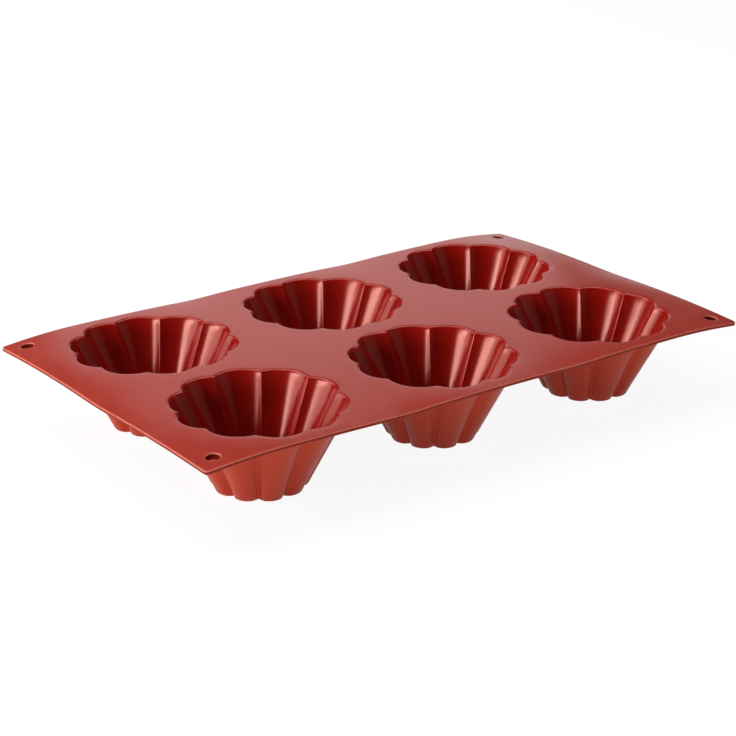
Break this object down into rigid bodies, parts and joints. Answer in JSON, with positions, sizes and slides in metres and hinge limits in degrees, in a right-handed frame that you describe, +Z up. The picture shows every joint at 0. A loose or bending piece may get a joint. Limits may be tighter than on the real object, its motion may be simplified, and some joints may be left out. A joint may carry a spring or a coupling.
{
  "type": "silicone brioche mould",
  "caption": "Flexible silicone baking sheet with rows of tapered fluted cups and a hanging hole in each corner; each cup's floor presses up to push the bake out.",
  "frame": {"origin": "on the surface that the cups stand on, under the middle of the sheet", "axes": "+X along the long side of the sheet, +Y along the short side from the front row to the back row, +Z up out of the cups' mouths"},
  "size_m": [0.3, 0.175, 0.0382],
  "materials": {
    "sheet_silicone": "satin terracotta silicone",
    "cup_silicone": "terracotta silicone, polished inside and satin outside",
    "base_silicone": "terracotta silicone, polished inside and satin outside"
  },
  "bodies": {
    "mould": {"top_sheet": "sheet_silicone", "front_left_cup_wall": "cup_silicone", "front_middle_cup_wall": "cup_silicone", "front_right_cup_wall": "cup_silicone", "back_left_cup_wall": "cup_silicone", "back_middle_cup_wall": "cup_silicone", "back_right_cup_wall": "cup_silicone"},
    "front_left_base": {"front_left_cup_base": "base_silicone"},
    "front_middle_base": {"front_middle_cup_base": "base_silicone"},
    "front_right_base": {"front_right_cup_base": "base_silicone"},
    "back_left_base": {"back_left_cup_base": "base_silicone"},
    "back_middle_base": {"back_middle_cup_base": "base_silicone"},
    "back_right_base": {"back_right_cup_base": "base_silicone"}
  },
  "joints": [
    {"name": "front_left_press_out", "type": "slide", "parent": "mould", "child": "front_left_base", "axis": [0, 0, 1], "range_m": [0, 0.015], "stiffness_N_per_m": 300},
    {"name": "front_middle_press_out", "type": "slide", "parent": "mould", "child": "front_middle_base", "axis": [0, 0, 1], "range_m": [0, 0.015], "stiffness_N_per_m": 300},
    {"name": "front_right_press_out", "type": "slide", "parent": "mould", "child": "front_right_base", "axis": [0, 0, 1], "range_m": [0, 0.015], "stiffness_N_per_m": 300},
    {"name": "back_left_press_out", "type": "slide", "parent": "mould", "child": "back_left_base", "axis": [0, 0, 1], "range_m": [0, 0.015], "stiffness_N_per_m": 300},
    {"name": "back_middle_press_out", "type": "slide", "parent": "mould", "child": "back_middle_base", "axis": [0, 0, 1], "range_m": [0, 0.015], "stiffness_N_per_m": 300},
    {"name": "back_right_press_out", "type": "slide", "parent": "mould", "child": "back_right_base", "axis": [0, 0, 1], "range_m": [0, 0.015], "stiffness_N_per_m": 300}
  ]
}
